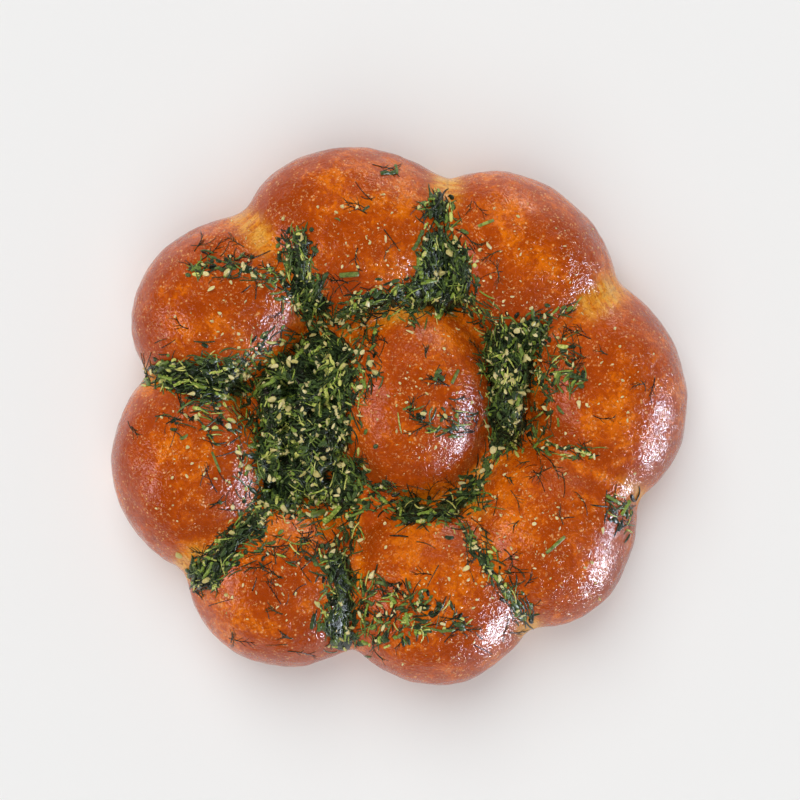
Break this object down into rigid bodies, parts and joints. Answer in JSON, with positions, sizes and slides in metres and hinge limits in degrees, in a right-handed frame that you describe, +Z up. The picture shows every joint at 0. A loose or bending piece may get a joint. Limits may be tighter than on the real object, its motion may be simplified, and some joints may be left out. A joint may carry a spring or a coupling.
{
  "type": "pull-apart bread roll",
  "caption": "Flat-based round roll of buns baked together in a ring about a middle bun, topped with chopped dill and minced garlic.",
  "frame": {"origin": "middle of the flat base", "axes": "+Z up out of the crust; +Y towards the top of the view from above, +X to its right"},
  "size_m": [0.2187, 0.2052, 0.0488],
  "materials": {
    "crust": null,
    "chopped_dill": null,
    "dill_stem": null,
    "minced_garlic": null
  },
  "bodies": {
    "root": {"bread": "crust", "herbs_left_valley": "chopped_dill", "herbs_right_valley": "chopped_dill", "herbs_top_valley": "chopped_dill", "herbs_upper_left_valley": "chopped_dill", "herbs_left_seam": "chopped_dill", "herbs_lower_left_seam": "chopped_dill", "herbs_bottom_seam": "chopped_dill", "herbs_middle_foot": "chopped_dill", "herbs_top_bun_foot": "chopped_dill", "herbs_lower_right_seam": "chopped_dill", "herbs_on_left_bun": "chopped_dill", "herbs_on_upper_left_bun": "chopped_dill", "herbs_on_right_bun": "chopped_dill", "herbs_on_middle_bun": "chopped_dill", "herbs_on_middle_flank": "chopped_dill", "herbs_on_lower_left_bun": "chopped_dill", "herbs_on_bottom_bun": "chopped_dill", "herbs_lower_right_edge": "chopped_dill", "stem_top_bun": "dill_stem", "stem_lower_right_bun": "dill_stem", "stem_left_bun": "dill_stem", "stem_lower_left_bun": "dill_stem", "stem_upper_right_bun": "dill_stem", "stem_middle_bun": "dill_stem", "garlic_upper_left_bun": "minced_garlic", "garlic_left_bun": "minced_garlic", "garlic_middle_bun": "minced_garlic", "garlic_right_bun": "minced_garlic", "garlic_lower_right_bun": "minced_garlic", "garlic_bottom_bun": "minced_garlic", "garlic_upper_right_bun": "minced_garlic", "garlic_top_bun": "minced_garlic"}
  },
  "joints": []
}
